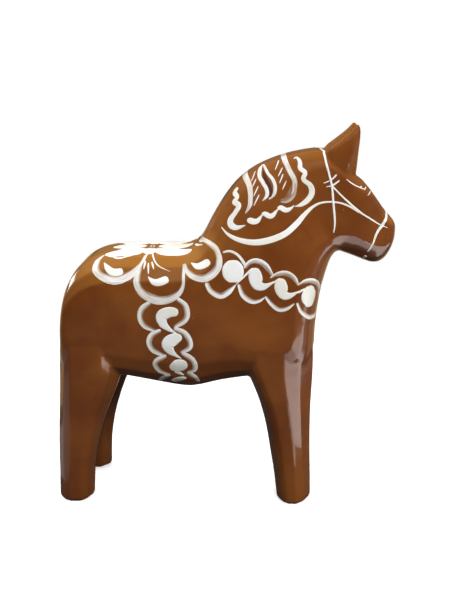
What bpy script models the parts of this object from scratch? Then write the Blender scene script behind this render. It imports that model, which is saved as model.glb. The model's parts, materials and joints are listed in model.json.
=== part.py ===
"""A carved and painted dala horse, 200 mm high.

The horse is carved from a blank of three pine boards, glued face to face round four dowels. The
core board carries the head, neck and trunk, and the two side boards carry the legs, so the slot
between a left leg and a right leg is the core board's own thickness.

Frame: +X runs towards the head, +Y to the horse's left and +Z up. The origin is on the ground,
in the middle of the horse's box. All the numbers below are millimetres.
"""

import math

import bmesh
import bpy

MM = 0.001

# The blank.
CORE_BOARD = 18.0
GLUE_LINE = 0.3
DOWEL_DIAMETER = 8.0
DOWEL_LENGTH = 40.0
DOWEL_CHAMFER = 0.8
DOWEL_SIDES = 24
DOWEL_GAP = 0.3
BLANK_REACH = 400.0

# Where the dowels cross the blank, as (x, z).
DOWELS = {
    "dowel_rump": (-62.0, 106.0),
    "dowel_belly": (-20.0, 98.0),
    "dowel_shoulder": (24.0, 96.0),
    "dowel_neck": (17.0, 141.0),
}

# The trunk, neck and head are drawn out rib by rib, from the rump to the muzzle. A rib crosses
# the horse's side view from its inner end (belly, chest, throat, jaw) to its outer end (rump,
# back, crest, forehead, nose). Each line holds:
# inner end (x, z), outer end (x, z),
# half thickness of the flat at the inner end, of the side near it, of the side near the outer
# end, and of the flat at the outer end, the length of the turned corner at each end, and how
# full that corner is, from 0 for a flat chamfer to 1 for a round one.
TRUNK_RIBS = (
    ((-86.4, 76.0), (-85.5, 92.0), 14.0, 20.0, 20.0, 13.0, 7.0, 7.0, 1.0),
    ((-85.2, 73.0), (-84.7, 102.0), 14.5, 24.0, 23.5, 13.0, 11.0, 10.0, 1.0),
    ((-82.6, 72.0), (-83.2, 112.6), 15.0, 28.0, 27.0, 12.5, 15.0, 14.0, 1.0),
    ((-77.8, 72.0), (-79.5, 121.9), 15.0, 29.6, 28.8, 12.0, 19.0, 17.0, 1.0),
    ((-70.8, 71.4), (-73.0, 129.4), 15.0, 30.0, 29.6, 12.0, 22.0, 19.0, 1.0),
    ((-60.8, 70.0), (-63.4, 134.2), 15.0, 30.0, 30.0, 12.0, 24.0, 20.0, 1.0),
    ((-46.8, 67.6), (-49.8, 136.0), 15.0, 30.0, 30.0, 12.5, 25.0, 21.0, 1.0),
    ((-29.8, 64.4), (-34.8, 136.0), 15.0, 30.0, 29.8, 13.0, 26.0, 21.0, 1.0),
    ((-15.8, 62.9), (-24.8, 136.0), 15.0, 30.0, 29.6, 13.0, 26.0, 21.0, 1.0),
    ((0.2, 66.4), (-18.8, 136.4), 15.0, 30.0, 29.2, 12.0, 25.0, 20.0, 1.0),
    ((14.2, 68.8), (-14.8, 138.0), 15.0, 30.0, 28.4, 10.5, 23.0, 19.0, 1.0),
    ((30.2, 69.8), (-11.8, 140.6), 15.0, 30.0, 27.4, 9.5, 20.0, 19.0, 1.0),
    ((43.8, 73.4), (-9.6, 144.0), 15.0, 29.8, 26.2, 9.0, 17.0, 19.0, 1.0),
    ((48.0, 84.0), (-7.2, 148.8), 15.0, 29.4, 25.0, 8.5, 16.0, 19.0, 0.8),
    ((48.8, 96.0), (-4.4, 154.0), 14.5, 28.8, 23.8, 8.0, 16.0, 19.0, 0.8),
    ((50.0, 107.5), (-1.0, 159.6), 13.5, 27.6, 22.4, 7.5, 15.0, 18.0, 0.8),
    ((51.8, 117.5), (3.4, 165.9), 12.5, 25.8, 21.0, 7.0, 14.0, 17.0, 0.8),
    ((54.1, 126.0), (9.2, 172.4), 11.5, 23.4, 19.4, 6.5, 12.5, 16.0, 0.8),
    ((56.2, 131.8), (17.8, 178.6), 10.5, 21.0, 17.6, 6.0, 10.5, 14.0, 0.8),
    ((58.6, 135.0), (28.4, 183.2), 9.5, 18.6, 16.2, 6.5, 8.5, 12.0, 0.8),
    ((60.8, 135.6), (39.4, 185.9), 8.5, 17.0, 15.2, 7.5, 9.5, 10.0, 0.7),
    ((63.6, 134.4), (51.2, 187.0), 7.0, 16.2, 14.6, 8.5, 11.0, 8.0, 0.6),
    ((67.2, 133.0), (60.6, 181.4), 6.5, 15.6, 14.2, 8.5, 12.0, 7.0, 0.5),
    ((71.2, 131.4), (67.6, 174.8), 6.5, 15.0, 13.8, 8.0, 12.0, 6.0, 0.4),
    ((75.4, 129.6), (73.4, 170.2), 6.0, 14.2, 12.6, 8.0, 11.5, 4.5, 0.4),
    ((79.2, 128.7), (77.2, 165.4), 5.5, 13.2, 11.2, 8.6, 10.5, 2.2, 0.4),
    ((82.4, 129.2), (82.2, 158.6), 5.0, 12.2, 10.6, 5.2, 9.0, 5.0, 0.4),
    ((85.4, 131.8), (85.8, 154.2), 5.0, 11.2, 10.2, 4.5, 7.0, 5.0, 0.5),
    ((87.8, 136.2), (88.4, 151.4), 5.0, 9.6, 9.2, 4.5, 5.0, 4.0, 0.6),
    ((89.4, 141.0), (89.8, 148.6), 4.5, 6.6, 6.6, 4.5, 2.6, 2.6, 0.8),
)
# Each turned corner is cut in this many facets.
CORNER_FACETS = 4

# A leg is drawn out from inside the trunk to the foot. Each line holds the height, the rear and
# the front edge, the outer face and the inner face, and the depth of the front and the rear
# corner on the outer side, each as (along x, across y).
FORE_LEG = (
    (104.0, 17.2, 42.8, 27.0, 10.0, (12.0, 9.0), (4.0, 5.0)),
    (90.0, 12.8, 47.4, 29.3, 9.8, (16.0, 10.5), (5.0, 6.0)),
    (76.0, 13.0, 48.0, 29.8, 9.8, (15.6, 10.5), (6.6, 7.5)),
    (66.0, 16.4, 47.6, 29.8, 10.0, (14.0, 10.5), (7.2, 8.2)),
    (56.0, 20.0, 47.2, 29.7, 10.2, (12.0, 10.5), (7.0, 8.4)),
    (42.0, 23.5, 46.9, 29.6, 10.6, (9.6, 10.2), (6.6, 8.4)),
    (26.0, 26.1, 47.1, 29.5, 11.2, (8.4, 10.0), (6.0, 8.2)),
    (12.0, 28.2, 47.5, 29.4, 11.8, (7.8, 10.0), (5.6, 8.0)),
    (2.0, 29.3, 47.6, 29.4, 12.2, (7.4, 10.0), (5.6, 8.0)),
    (0.5, 29.7, 47.2, 29.1, 12.6, (7.1, 9.8), (5.4, 7.8)),
    (0.0, 30.4, 46.5, 28.5, 13.2, (6.5, 9.2), (4.9, 7.3)),
)
HIND_LEG = (
    (104.0, -80.0, -63.8, 27.0, 10.0, (5.0, 6.0), (6.0, 7.0)),
    (90.0, -85.5, -56.8, 29.3, 9.8, (7.0, 8.5), (7.2, 9.0)),
    (78.0, -86.4, -54.4, 29.8, 9.8, (8.5, 9.5), (7.4, 9.0)),
    (68.0, -86.9, -55.0, 29.8, 9.8, (10.6, 9.8), (7.4, 8.8)),
    (58.0, -87.5, -59.0, 29.7, 10.2, (10.2, 9.8), (7.4, 8.6)),
    (46.0, -88.3, -63.7, 29.6, 10.6, (8.2, 9.6), (7.4, 8.2)),
    (32.0, -89.0, -67.9, 29.5, 11.2, (6.6, 9.2), (7.2, 7.6)),
    (18.0, -89.5, -70.4, 29.4, 11.8, (5.6, 9.0), (7.0, 7.0)),
    (2.0, -89.8, -71.4, 29.4, 12.2, (5.2, 8.8), (6.2, 6.4)),
    (0.5, -89.5, -71.8, 29.1, 12.6, (5.0, 8.5), (6.0, 6.2)),
    (0.0, -88.8, -72.5, 28.5, 13.2, (4.5, 7.9), (5.4, 5.8)),
)
# The inner corners of a leg, as (along x, across y), and where the outer corners turn between
# their two cuts, as shares of the corner's depth.
INNER_CORNER = (4.6, 5.2)
CORNER_TURN = (0.5, 0.3)
# The horse is carved by hand, and its left hind leg stands a little further forward.
LEFT_HIND_STEP = 2.8
STEP_STARTS = 84.0
STEP_FULL = 60.0

# An ear is drawn out upwards. Each line holds the height, the rear and front edge, the outer and
# inner face, and how far the outer front edge is cut back, as (along x, across y).
EAR = (
    (174.0, 55.0, 68.5, 12.8, 3.6, (5.6, 5.5)),
    (181.0, 53.4, 69.1, 13.4, 2.6, (4.8, 5.5)),
    (187.0, 53.4, 69.5, 13.2, 2.8, (3.5, 5.0)),
    (190.5, 57.2, 69.9, 12.6, 3.4, (2.9, 4.4)),
    (194.0, 61.8, 70.1, 12.0, 4.0, (2.4, 3.8)),
    (197.0, 65.2, 70.1, 11.2, 4.8, (1.9, 3.0)),
    (199.2, 67.2, 69.4, 10.2, 5.8, (0.9, 1.5)),
    (200.0, 67.8, 68.8, 9.2, 6.8, (0.4, 0.8)),
)
EAR_REAR_BEVEL = 2.2
EAR_INNER_BEVEL = 1.6
EAR_FRONT_LEAN = 0.6

# How many steps a stretch between two stated sections is divided in, along its smooth curve.
TRUNK_STEPS = 3
LIMB_STEPS = 2

# Edges that turn by more than these angles, in degrees, are left sharp by the shading.
CARVED_EDGE = 24.0
DOWEL_EDGE = 40.0
DOWEL_END = 60.0

PINE_PAINTED = ("brown_gloss_paint", (0.188, 0.053, 0.013, 1.0), 0.16)
BEECH = ("beech", (0.62, 0.42, 0.24, 1.0), 0.6)


def clear_scene():
    """Remove whatever the file opened with."""
    for thing in list(bpy.data.objects):
        bpy.data.objects.remove(thing)


def finish_of(name, colour, roughness):
    """A plain Principled material, made once and then shared."""
    found = bpy.data.materials.get(name)
    if found:
        return found
    made = bpy.data.materials.new(name)
    made.use_nodes = True
    shader = made.node_tree.nodes["Principled BSDF"]
    shader.inputs["Base Color"].default_value = colour
    shader.inputs["Roughness"].default_value = roughness
    shader.inputs["Metallic"].default_value = 0.0
    return made


def flatten(section):
    """The numbers of one stated section as one flat list."""
    flat = []
    for value in section:
        flat.extend(value if isinstance(value, tuple) else (value,))
    return flat


def smooth_between(sections, steps):
    """Fill in `steps` sections along a Catmull-Rom curve between each pair of stated ones."""
    stated = [flatten(section) for section in sections]
    filled = []
    for i in range(len(stated) - 1):
        before = stated[max(i - 1, 0)]
        here, there = stated[i], stated[i + 1]
        after = stated[min(i + 2, len(stated) - 1)]
        for step in range(steps):
            t = step / steps
            filled.append([
                0.5 * (2 * b + (c - a) * t + (2 * a - 5 * b + 4 * c - d) * t * t
                       + (3 * b - a - 3 * c + d) * t ** 3)
                for a, b, c, d in zip(before, here, there, after)
            ])
    filled.append(stated[-1])
    return filled


def mirrored(half):
    """Close a ring from its points on the +Y side, walked from the inner end to the outer end."""
    return half + [(x, -y, z) for x, y, z in reversed(half)]


def turned_corner(length, low, high, fullness):
    """The points of a corner that starts at `low` across and reaches `high` after `length`."""
    points = []
    for k in range(CORNER_FACETS + 1):
        share = k / CORNER_FACETS
        angle = math.pi / 2 * share
        along = (1 - fullness) * share + fullness * (1 - math.cos(angle))
        across = (1 - fullness) * share + fullness * math.sin(angle)
        points.append((length * along, low + (high - low) * across))
    return points


def trunk_ring(rib):
    """The closed section of the trunk, neck or head on one rib."""
    inner_x, inner_z, outer_x, outer_z = rib[:4]
    inner_flat, inner_side, outer_side, outer_flat, inner_turn, outer_turn, fullness = rib[4:]
    length = math.hypot(outer_x - inner_x, outer_z - inner_z)
    walk = turned_corner(inner_turn, inner_flat, inner_side, fullness)
    for along, across in reversed(turned_corner(outer_turn, outer_flat, outer_side, fullness)):
        walk.append((length - along, across))
    half = []
    for along, across in walk:
        share = along / length
        half.append((
            inner_x + (outer_x - inner_x) * share,
            across,
            inner_z + (outer_z - inner_z) * share,
        ))
    return mirrored(half)


def leg_ring(side, section):
    """The closed horizontal section of a leg. side is +1 for a left leg, -1 for a right one."""
    z, rear, front, outer, inner = section[:5]
    front_x, front_y, rear_x, rear_y = section[5:]
    inner_x, inner_y = INNER_CORNER
    turn_x, turn_y = CORNER_TURN
    outline = (
        (front, inner + inner_y),
        (front, outer - front_y),
        (front - front_x * (1 - turn_x), outer - front_y * turn_y),
        (front - front_x, outer),
        (rear + rear_x, outer),
        (rear + rear_x * (1 - turn_x), outer - rear_y * turn_y),
        (rear, outer - rear_y),
        (rear, inner + inner_y),
        (rear + inner_x, inner),
        (front - inner_x, inner),
    )
    return [(x, side * y, z) for x, y in outline]


def stepped(section):
    """A section of the hind leg, moved forward as the left one is carved."""
    z, rear, front = section[:3]
    share = min(1.0, max(0.0, (STEP_STARTS - z) / (STEP_STARTS - STEP_FULL)))
    return [z, rear + LEFT_HIND_STEP * share, front + LEFT_HIND_STEP * share, *section[3:]]


def ear_ring(side, section):
    """The closed horizontal section of an ear."""
    z, rear, front, outer, inner, cut_x, cut_y = section
    depth = min(EAR_REAR_BEVEL, (front - rear) / 3)
    thick = min(EAR_INNER_BEVEL, (outer - inner) / 3)
    lean = min(EAR_FRONT_LEAN, depth)
    outline = (
        (rear, inner + thick),
        (rear, outer - thick),
        (rear + depth, outer),
        (front - cut_x, outer),
        (front, outer - cut_y),
        (front - lean, inner),
        (rear + depth, inner),
    )
    return [(x, side * y, z) for x, y in outline]


def drawn_out(name, rings):
    """A closed solid drawn out through the rings, with a flat cap on each end."""
    mesh = bpy.data.meshes.new(name)
    shape = bmesh.new()
    drawn = [[shape.verts.new([c * MM for c in point]) for point in ring] for ring in rings]
    shape.faces.new(drawn[0])
    shape.faces.new(drawn[-1])
    for here, there in zip(drawn, drawn[1:]):
        for i in range(len(here)):
            shape.faces.new((here[i - 1], here[i], there[i], there[i - 1]))
    bmesh.ops.triangulate(shape, faces=shape.faces[:])
    bmesh.ops.recalc_face_normals(shape, faces=shape.faces[:])
    shape.to_mesh(mesh)
    shape.free()
    made = bpy.data.objects.new(name, mesh)
    bpy.context.scene.collection.objects.link(made)
    return made


def as_cutter(thing):
    """A helper that shapes the pieces and isn't a piece itself."""
    thing.hide_render = True
    thing.display_type = "WIRE"
    return thing


def boolean(thing, other, operation):
    """Join, cut or intersect, left as a modifier."""
    modifier = thing.modifiers.new(f"{operation.lower()}_{other.name}", "BOOLEAN")
    modifier.object = other
    modifier.operation = operation
    modifier.solver = "EXACT"


def evaluated_mesh(thing):
    """The mesh that the object's modifiers give."""
    graph = bpy.context.evaluated_depsgraph_get()
    return bpy.data.meshes.new_from_object(thing.evaluated_get(graph), depsgraph=graph)


def carved_horse():
    """The whole carving: the trunk with its legs and ears joined on."""
    horse = as_cutter(drawn_out(
        "carving", [trunk_ring(rib) for rib in smooth_between(TRUNK_RIBS, TRUNK_STEPS)]
    ))
    for side, word in ((1, "left"), (-1, "right")):
        for limb, stated in (("fore_leg", FORE_LEG), ("hind_leg", HIND_LEG)):
            sections = smooth_between(stated, LIMB_STEPS)
            if limb == "hind_leg" and side > 0:
                sections = [stepped(section) for section in sections]
            rings = [leg_ring(side, section) for section in sections]
            boolean(horse, as_cutter(drawn_out(f"{word}_{limb}", rings)), "UNION")
        rings = [ear_ring(side, section) for section in smooth_between(EAR, LIMB_STEPS)]
        boolean(horse, as_cutter(drawn_out(f"{word}_ear", rings)), "UNION")
    return horse


def slab(name, low_y, high_y):
    """A board-shaped helper between two planes, larger than the horse each way."""
    half = BLANK_REACH / 2
    rings = [
        [(-half, y, -half), (half, y, -half), (half, y, half), (-half, y, half)]
        for y in (low_y, high_y)
    ]
    return as_cutter(drawn_out(name, rings))


def rod(name, x, z, diameter, length):
    """A round rod across the horse, centred on its middle plane."""
    mesh = bpy.data.meshes.new(name)
    shape = bmesh.new()
    bmesh.ops.create_cone(
        shape, cap_ends=True, segments=DOWEL_SIDES,
        radius1=diameter / 2 * MM, radius2=diameter / 2 * MM, depth=length * MM,
    )
    shape.to_mesh(mesh)
    shape.free()
    made = bpy.data.objects.new(name, mesh)
    bpy.context.scene.collection.objects.link(made)
    made.rotation_euler = (math.pi / 2, 0, 0)
    made.location = (x * MM, 0, z * MM)
    return made


def dowels():
    """The four dowels, each with the hole that it stands in."""
    holes = []
    for name, (x, z) in DOWELS.items():
        dowel = rod(name, x, z, DOWEL_DIAMETER, DOWEL_LENGTH)
        bevel = dowel.modifiers.new("end_chamfer", "BEVEL")
        bevel.width = DOWEL_CHAMFER * MM
        bevel.segments = 1
        bevel.limit_method = "ANGLE"
        bevel.angle_limit = math.radians(DOWEL_END)
        dowel.data.materials.append(finish_of(*BEECH))
        dowel.data.shade_smooth()
        dowel.data.set_sharp_from_angle(angle=math.radians(DOWEL_EDGE))
        holes.append(as_cutter(rod(
            f"hole_{name}", x, z, DOWEL_DIAMETER + 2 * DOWEL_GAP, DOWEL_LENGTH + 2 * DOWEL_GAP
        )))
    return holes


def boards(horse, holes):
    """The three boards of the blank, as the carving leaves them."""
    glue = CORE_BOARD / 2
    layers = {
        "core_board": (-glue + GLUE_LINE / 2, glue - GLUE_LINE / 2),
        "left_board": (glue + GLUE_LINE / 2, BLANK_REACH / 2),
        "right_board": (-BLANK_REACH / 2, -glue - GLUE_LINE / 2),
    }
    bpy.context.view_layer.update()
    for name, (low_y, high_y) in layers.items():
        board = bpy.data.objects.new(name, evaluated_mesh(horse))
        bpy.context.scene.collection.objects.link(board)
        board.data.materials.clear()
        board.data.materials.append(finish_of(*PINE_PAINTED))
        boolean(board, slab(f"slab_{name}", low_y, high_y), "INTERSECT")
        for hole in holes:
            boolean(board, hole, "DIFFERENCE")
        board.data.shade_smooth()
        board.data.set_sharp_from_angle(angle=math.radians(CARVED_EDGE))


def main():
    """Build the horse."""
    clear_scene()
    boards(carved_horse(), dowels())


main()
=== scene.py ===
"""The looks of a painted dala horse: its coat of brown gloss, its white brushwork and its studio.

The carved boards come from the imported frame. One continuous coat of paint is laid over them, and
every white mark is a thin film of paint of its own, laid on that coat stroke by stroke. Sizes and
places below are millimetres in the frame of the horse, and MM turns them into metres: +X runs
towards the head, the right side is -Y and +Z is up.
"""

from __future__ import annotations

import json
import logging
import math
import random
from dataclasses import dataclass, field
from enum import Enum

import bmesh
import bpy
from mathutils import Matrix, Vector
from mathutils.bvhtree import BVHTree

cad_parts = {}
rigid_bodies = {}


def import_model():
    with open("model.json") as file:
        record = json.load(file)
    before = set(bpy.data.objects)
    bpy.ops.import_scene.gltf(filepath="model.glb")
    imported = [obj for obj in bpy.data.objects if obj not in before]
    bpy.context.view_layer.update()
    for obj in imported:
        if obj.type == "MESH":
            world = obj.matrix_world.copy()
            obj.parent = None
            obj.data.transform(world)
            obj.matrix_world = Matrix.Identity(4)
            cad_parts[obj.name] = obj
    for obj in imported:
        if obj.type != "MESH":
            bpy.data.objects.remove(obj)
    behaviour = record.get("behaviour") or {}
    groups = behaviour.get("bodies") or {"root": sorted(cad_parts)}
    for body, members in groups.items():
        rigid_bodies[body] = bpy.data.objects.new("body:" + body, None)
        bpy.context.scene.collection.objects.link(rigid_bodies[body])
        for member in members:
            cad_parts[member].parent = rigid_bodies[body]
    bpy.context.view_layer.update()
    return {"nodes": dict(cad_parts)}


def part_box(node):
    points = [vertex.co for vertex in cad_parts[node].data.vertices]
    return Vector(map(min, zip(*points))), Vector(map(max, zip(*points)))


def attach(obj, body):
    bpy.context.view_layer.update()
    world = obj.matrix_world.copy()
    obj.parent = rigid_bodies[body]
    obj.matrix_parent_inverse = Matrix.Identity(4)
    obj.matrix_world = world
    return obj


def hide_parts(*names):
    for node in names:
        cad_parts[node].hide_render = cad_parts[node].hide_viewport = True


MM = 0.001
BODY = "root"

Colour = tuple[float, float, float, float]
Mark = tuple[float, ...]
Socket = bpy.types.NodeSocket

WHITE: Colour = (1.0, 1.0, 1.0, 1.0)
BLACK: Colour = (0.0, 0.0, 0.0, 1.0)

log = logging.getLogger("dala_horse")


class Side(Enum):
    """A side of the horse, as the sign of its Y."""

    RIGHT = -1
    LEFT = 1


class Load(Enum):
    """How the brush is charged with white, as seen along its travel from outside the horse."""

    FULL = "white right across"
    LEFT_EDGE = "white on the left edge, fading to nothing on the right"
    RIGHT_EDGE = "white on the right edge, fading to nothing on the left"


def deselect_all() -> None:
    """Leave nothing selected, because an operator acts on all that is."""
    for thing in bpy.context.view_layer.objects:
        thing.select_set(False)
    bpy.context.view_layer.objects.active = None


def choose(*things: bpy.types.Object) -> None:
    """Select these objects and no other, with the first one active.

    Args:
        things: the objects that the next operator acts on.
    """
    deselect_all()
    for thing in things:
        thing.select_set(True)
    bpy.context.view_layer.objects.active = things[0]


def apply_modifier(thing: bpy.types.Object, kind: str, **settings: object) -> None:
    """Add one modifier and apply it at once.

    Args:
        thing: the object to change.
        kind: the modifier's type, such as "REMESH".
        settings: the modifier's own values.
    """
    choose(thing)
    modifier = thing.modifiers.new(kind.lower(), kind)
    for name, value in settings.items():
        setattr(modifier, name, value)
    bpy.ops.object.modifier_apply(modifier=modifier.name)


def smooth_step(low: float, high: float, value: float) -> float:
    """0 below low, 1 above high, and an S curve between them."""
    share = min(1.0, max(0.0, (value - low) / (high - low)))
    return share * share * (3 - 2 * share)


def between(values: tuple[float, ...], share: float) -> float:
    """Read evenly spaced values at a share of their length, along a smooth curve.

    Args:
        values: the stated values, first to last.
        share: from 0 at the first value to 1 at the last.

    Returns:
        The value there.
    """
    place = share * (len(values) - 1)
    index = min(int(place), len(values) - 2)
    step = place - index
    before = values[max(index - 1, 0)]
    here, there = values[index], values[index + 1]
    after = values[min(index + 2, len(values) - 1)]
    return 0.5 * (2 * here + (there - before) * step
                  + (2 * before - 5 * here + 4 * there - after) * step ** 2
                  + (3 * here - before - 3 * there + after) * step ** 3)


class Desk:
    """A node tree under construction, and short ways to add nodes to it and join them."""

    def __init__(self, tree: bpy.types.NodeTree) -> None:
        """Work on this tree."""
        self.tree = tree

    def add(self, kind: str, **values: object) -> bpy.types.Node:
        """Add a node.

        Args:
            kind: the node's type, without the "ShaderNode" in front.
            values: settings of the node, or values of its sockets.

        Returns:
            The new node.
        """
        node = self.tree.nodes.new(f"ShaderNode{kind}")
        for name, value in values.items():
            socket = node.inputs.get(name.replace("_", " "))
            if hasattr(node, name):
                setattr(node, name, value)
            elif socket is not None:
                socket.default_value = value
        return node

    def join(self, start: object, end: Socket) -> None:
        """Link an output to an input, or set the input to a plain value.

        Args:
            start: another node's output, or a value.
            end: the input.
        """
        if isinstance(start, Socket):
            self.tree.links.new(start, end)
        else:
            end.default_value = start

    def object_place(self) -> Socket:
        """The place on the horse, in metres."""
        return self.add("TexCoord").outputs["Object"]

    def scaled(self, place: Socket, scale: Mark) -> Socket:
        """Stretch a pattern's space.

        Args:
            place: the coordinates.
            scale: how much the pattern shrinks along each axis.

        Returns:
            The stretched coordinates.
        """
        mapping = self.add("Mapping", Scale=scale)
        self.join(place, mapping.inputs["Vector"])
        return mapping.outputs["Vector"]

    def noise(self, place: Socket, scale: float, detail: float = 2.0) -> Socket:
        """Cloudy variation from 0 to 1.

        Args:
            place: the coordinates it is read at.
            scale: how many clouds fit in one unit.
            detail: how many finer layers are added.

        Returns:
            The noise's value.
        """
        node = self.add("TexNoise", Scale=scale, Detail=detail)
        self.join(place, node.inputs["Vector"])
        return node.outputs["Fac"]

    def fit(
        self, value: Socket, low: float, high: float, start: float = 0.0, end: float = 1.0
    ) -> Socket:
        """Spread a value that runs from low to high over start to end, along an S curve.

        Args:
            value: the value to spread.
            low: what becomes start.
            high: what becomes end.
            start: the first value of the result.
            end: the last value of the result.

        Returns:
            The result.
        """
        node = self.add("MapRange", interpolation_type="SMOOTHSTEP", From_Min=low,
                        From_Max=high, To_Min=start, To_Max=end)
        self.join(value, node.inputs["Value"])
        return node.outputs["Result"]

    def sum(self, operation: str, first: object, second: object) -> Socket:
        """One sum of two values, each of which is a number or a socket.

        Args:
            operation: the kind of sum, such as "ADD".
            first: the first value.
            second: the second value.

        Returns:
            The answer.
        """
        node = self.add("Math", operation=operation)
        self.join(first, node.inputs[0])
        self.join(second, node.inputs[1])
        return node.outputs["Value"]

    def blend(self, share: Socket, first: object, second: object) -> Socket:
        """Mix two colours.

        Args:
            share: 0 for the first colour and 1 for the second.
            first: a colour or a socket.
            second: a colour or a socket.

        Returns:
            The mixed colour.
        """
        node = self.add("Mix", data_type="RGBA")
        colour_inputs = [socket for socket in node.inputs if socket.type == "RGBA"]
        self.join(share, node.inputs["Factor"])
        self.join(first, colour_inputs[0])
        self.join(second, colour_inputs[1])
        return next(socket for socket in node.outputs if socket.type == "RGBA")

    def relief(
        self, height: Socket, depth: float, strength: float, below: Socket | None = None
    ) -> Socket:
        """A bump in the surface, over another bump if one is given.

        Args:
            height: the relief, from 0 to 1.
            depth: how far in metres that range stands out.
            strength: how much of it shows.
            below: the normal of a coarser bump.

        Returns:
            The bent normal.
        """
        node = self.add("Bump", Strength=strength, Distance=depth)
        self.join(height, node.inputs["Height"])
        if below is not None:
            self.join(below, node.inputs["Normal"])
        return node.outputs["Normal"]


class Palette(Desk):
    """A Principled material under construction."""

    def __init__(self, name: str) -> None:
        """Start an empty material."""
        self.material = bpy.data.materials.new(name)
        self.material.use_nodes = True
        super().__init__(self.material.node_tree)
        self.shader = self.tree.nodes["Principled BSDF"]

    def finish(self, colour: Socket, normal: Socket | None = None, **values: object) -> None:
        """Join the shader, and set what is the same all over on its own sockets.

        Args:
            colour: the base colour.
            normal: the bent normal, if the surface has relief.
            values: the socket's name with underscores for spaces, and its value.
        """
        self.join(colour, self.shader.inputs["Base Color"])
        if normal is not None:
            self.join(normal, self.shader.inputs["Normal"])
        for name, value in values.items():
            self.join(value, self.shader.inputs[name.replace("_", " ")])


@dataclass(frozen=True)
class BrownGloss:
    """Brown enamel, brushed on over sanded pine: rich, glossy and a little uneven."""

    name: str = "brown_gloss"
    deep: Colour = (0.138, 0.037, 0.0080, 1.0)
    warm: Colour = (0.205, 0.063, 0.0125, 1.0)
    # Painted top light: the brighter warm colour that is mixed into enamel facing upwards, the
    # normals over which it comes in, the heights at which it fades under the mane, and how much of
    # it stays on the mane.
    painted_top_light: Colour = (0.300, 0.119, 0.0200, 1.0)
    painted_top_light_facing: tuple[float, float] = (0.15, 0.85)
    painted_top_light_height: tuple[float, float] = (0.140, 0.166)
    painted_top_light_on_mane: float = 0.35
    speck: Colour = (0.30, 0.17, 0.09, 1.0)
    roughness: float = 0.22
    gloss_roughness: float = 0.035

    def colour(self, desk: Palette) -> Socket:
        """The enamel's colour: its clouds, a painted warm top light on the surfaces that face
        upwards below the mane, and its specks.

        Args:
            desk: the material that it is mixed in.

        Returns:
            The colour.
        """
        place = desk.object_place()
        clouds = desk.fit(desk.noise(place, 34.0, 3.0), 0.30, 0.70)
        enamel = desk.blend(clouds, self.deep, self.warm)
        facing, height = desk.add("SeparateXYZ"), desk.add("SeparateXYZ")
        desk.join(desk.add("TexCoord").outputs["Normal"], facing.inputs["Vector"])
        desk.join(place, height.inputs["Vector"])
        # Painted top light: enamel that faces upwards below the mane is mixed towards a brighter
        # warm colour in place of light from above. The share computed below says where it shows.
        below_mane = desk.fit(height.outputs["Z"], *self.painted_top_light_height, 1.0, self.painted_top_light_on_mane)
        upwards = desk.fit(facing.outputs["Z"], *self.painted_top_light_facing)
        thin = desk.sum("MULTIPLY", upwards, below_mane)
        enamel = desk.blend(thin, enamel, self.painted_top_light)
        cells = desk.add("TexVoronoi", Scale=210.0)
        desk.join(place, cells.inputs["Vector"])
        dot = desk.fit(cells.outputs["Distance"], 0.10, 0.04)
        chance = desk.add("SeparateColor")
        desk.join(cells.outputs["Color"], chance.inputs["Color"])
        rare = desk.fit(chance.outputs["Red"], 0.955, 0.985, 0.0, 0.55)
        return desk.blend(desk.sum("MULTIPLY", dot, rare), enamel, self.speck)

    def surface(self, desk: Palette) -> Socket:
        """The enamel's skin: slow ripples of the brush and a fine orange peel.

        Args:
            desk: the material that it is made in.

        Returns:
            The bent normal.
        """
        place = desk.object_place()
        ripples = desk.noise(desk.scaled(place, (0.6, 1.0, 1.0)), 120.0, 1.0)
        sags = desk.noise(desk.scaled(place, (1.0, 1.0, 0.5)), 380.0, 2.0)
        peel = desk.noise(place, 900.0, 1.0)
        slow = desk.relief(ripples, 0.0009, 0.26)
        middle = desk.relief(sags, 0.00024, 0.30, slow)
        return desk.relief(peel, 0.00006, 0.15, middle)

    def make(self) -> bpy.types.Material:
        """Mix the finish."""
        desk = Palette(self.name)
        desk.finish(self.colour(desk), self.surface(desk), Roughness=self.roughness,
                    Specular_IOR_Level=0.35, Coat_Weight=0.55,
                    Coat_Roughness=self.gloss_roughness)
        return desk.material


@dataclass(frozen=True)
class WhiteBrushwork:
    """White ornament paint over the brown, streaked by the bristles and thin where it fades."""

    name: str = "white_brushwork"
    under: BrownGloss = field(default_factory=BrownGloss)
    cream: Colour = (0.80, 0.78, 0.69, 1.0)
    milk: Colour = (0.83, 0.84, 0.83, 1.0)

    def make(self) -> bpy.types.Material:
        """Mix the finish."""
        desk = Palette(self.name)
        along = desk.add("UVMap").outputs["UV"]
        bristles = desk.noise(desk.scaled(along, (1.3, 15.0, 1.0)), 1.0, 4.0)
        charge = desk.add("Attribute", attribute_name="load").outputs["Fac"]
        uneven = desk.sum("MULTIPLY", desk.sum("SUBTRACT", bristles, 0.5), 0.95)
        cover = desk.fit(desk.sum("ADD", charge, uneven), -0.05, 0.92)
        tint = desk.fit(desk.noise(desk.object_place(), 60.0), 0.35, 0.65)
        white = desk.blend(tint, self.cream, self.milk)
        colour = desk.blend(cover, self.under.colour(desk), white)
        ridges = desk.relief(bristles, 0.00014, 0.45, self.under.surface(desk))
        desk.finish(colour, ridges, Roughness=0.3, Specular_IOR_Level=0.35, Coat_Weight=0.5,
                    Coat_Roughness=0.06)
        return desk.material


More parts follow.
